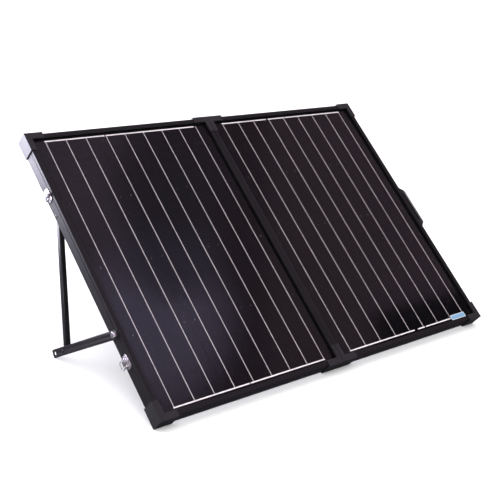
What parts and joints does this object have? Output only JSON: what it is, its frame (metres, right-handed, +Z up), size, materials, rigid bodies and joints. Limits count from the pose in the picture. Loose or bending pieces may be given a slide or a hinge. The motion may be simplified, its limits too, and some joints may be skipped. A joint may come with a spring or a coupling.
{
  "type": "folding solar panel suitcase",
  "caption": "Folding suitcase solar panel: two glazed black-framed panels hinged at the back of their seam, leaning on swing-out struts and braces, with latches and a carry handle.",
  "frame": {"origin": "centre of the overall box at the ground, with the panel leaning on its stand", "axes": "+X to the right along the bottom edge, seen from the front; +Y to the back, where the stand is; +Z up. The glass faces -Y and up."},
  "size_m": [1.0478, 0.5682, 0.4674],
  "materials": {
    "black_frame": "black anodised aluminium, satin",
    "corner_plastic": "black moulded plastic, fine texture",
    "front_glass": "clear tempered glass, slight texture",
    "silicon_cells": "dark blue-brown monocrystalline silicon with silver busbars",
    "back_sheet": "black laminate film",
    "box_plastic": "black moulded plastic",
    "stand_paint": "black powder coat",
    "bright_steel": "bright zinc-plated or stainless steel",
    "handle_plastic": "dark grey grained plastic",
    "label_film": "plain blue film"
  },
  "bodies": {
    "left_panel": {"left_bottom_rail": "black_frame", "left_top_rail": "black_frame", "left_outer_rail": "black_frame", "left_inner_rail": "black_frame", "left_outer_bottom_protector": "corner_plastic", "left_outer_top_protector": "corner_plastic", "left_inner_bottom_protector": "corner_plastic", "left_inner_top_protector": "corner_plastic", "left_glass": "front_glass", "left_cell_array": "silicon_cells", "left_backsheet": "back_sheet", "left_junction_box": "box_plastic", "left_junction_lid": "box_plastic", "left_cable_gland": "box_plastic", "left_strut_rivet": "stand_paint", "left_brace_bolt": "bright_steel", "left_brace_nut": "bright_steel", "lower_hinge_left_leaf": "stand_paint", "lower_hinge_pin": "bright_steel", "upper_hinge_left_leaf": "stand_paint", "upper_hinge_pin": "bright_steel", "left_lower_latch_base": "bright_steel", "left_upper_latch_base": "bright_steel"},
    "right_panel": {"right_bottom_rail": "black_frame", "right_top_rail": "black_frame", "right_outer_rail": "black_frame", "right_inner_rail": "black_frame", "right_outer_bottom_protector": "corner_plastic", "right_outer_top_protector": "corner_plastic", "right_inner_bottom_protector": "corner_plastic", "right_inner_top_protector": "corner_plastic", "right_glass": "front_glass", "right_cell_array": "silicon_cells", "right_backsheet": "back_sheet", "right_junction_box": "box_plastic", "right_junction_lid": "box_plastic", "right_cable_gland": "box_plastic", "right_strut_rivet": "stand_paint", "right_brace_bolt": "bright_steel", "right_brace_nut": "bright_steel", "lower_hinge_right_leaf": "stand_paint", "upper_hinge_right_leaf": "stand_paint", "right_lower_keeper": "stand_paint", "right_upper_keeper": "stand_paint", "carry_handle": "handle_plastic", "handle_screw_lower": "bright_steel", "handle_screw_upper": "bright_steel", "blank_label": "label_film", "right_brace_spacer": "bright_steel"},
    "left_strut": {"left_strut": "stand_paint"},
    "left_brace": {"left_brace": "stand_paint", "left_foot_bolt": "stand_paint"},
    "right_strut": {"right_strut": "stand_paint"},
    "right_brace": {"right_brace": "stand_paint", "right_foot_bolt": "stand_paint"},
    "lower_latch_lever": {"left_lower_latch_lever": "bright_steel"},
    "lower_latch_wire": {"left_lower_latch_wire": "bright_steel"},
    "upper_latch_lever": {"left_upper_latch_lever": "bright_steel"},
    "upper_latch_wire": {"left_upper_latch_wire": "bright_steel"}
  },
  "joints": [
    {"name": "panel_fold", "type": "hinge", "parent": "left_panel", "child": "right_panel", "pos_m": [-0.00755, 0.01126, 0.21973], "axis": [0, 0.7787, 0.6273], "range_deg": [0, 180]},
    {"name": "left_strut_swing", "type": "hinge", "parent": "left_panel", "child": "left_strut", "pos_m": [-0.5068, 0.12249, 0.32012], "axis": [1, 0, 0], "range_deg": [-41.01, 0]},
    {"name": "left_brace_swing", "type": "hinge", "parent": "left_panel", "child": "left_brace", "pos_m": [-0.51685, -0.11581, 0.1433], "axis": [1, 0, 0], "range_deg": [0, 70.18]},
    {"name": "right_strut_swing", "type": "hinge", "parent": "right_panel", "child": "right_strut", "pos_m": [0.4917, 0.12249, 0.32012], "axis": [1, 0, 0], "range_deg": [-41.01, 0]},
    {"name": "right_brace_swing", "type": "hinge", "parent": "right_panel", "child": "right_brace", "pos_m": [0.48355, -0.12265, 0.1333], "axis": [1, 0, 0], "range_deg": [0, 67.01]},
    {"name": "lower_latch_lever_swing", "type": "hinge", "parent": "left_panel", "child": "lower_latch_lever", "pos_m": [-0.51955, -0.15453, 0.09477], "axis": [0, -0.7787, -0.6273], "range_deg": [0, 150]},
    {"name": "lower_latch_wire_swing", "type": "hinge", "parent": "lower_latch_lever", "child": "lower_latch_wire", "pos_m": [-0.51955, -0.15955, 0.101], "axis": [0, -0.7787, -0.6273], "range_deg": [-150, 0]},
    {"name": "upper_latch_lever_swing", "type": "hinge", "parent": "left_panel", "child": "upper_latch_lever", "pos_m": [-0.51955, 0.16164, 0.34947], "axis": [0, -0.7787, -0.6273], "range_deg": [0, 150]},
    {"name": "upper_latch_wire_swing", "type": "hinge", "parent": "upper_latch_lever", "child": "upper_latch_wire", "pos_m": [-0.51955, 0.15662, 0.3557], "axis": [0, -0.7787, -0.6273], "range_deg": [-150, 0]}
  ],
  "couplings": [
    {"joint": "left_strut_swing", "follows": "panel_fold", "ratio": -0.22783},
    {"joint": "left_brace_swing", "follows": "panel_fold", "ratio": 0.38983},
    {"joint": "right_strut_swing", "follows": "panel_fold", "ratio": -0.22783},
    {"joint": "right_brace_swing", "follows": "panel_fold", "ratio": 0.37228},
    {"joint": "lower_latch_wire_swing", "follows": "lower_latch_lever_swing", "ratio": -1},
    {"joint": "upper_latch_wire_swing", "follows": "upper_latch_lever_swing", "ratio": -1}
  ]
}
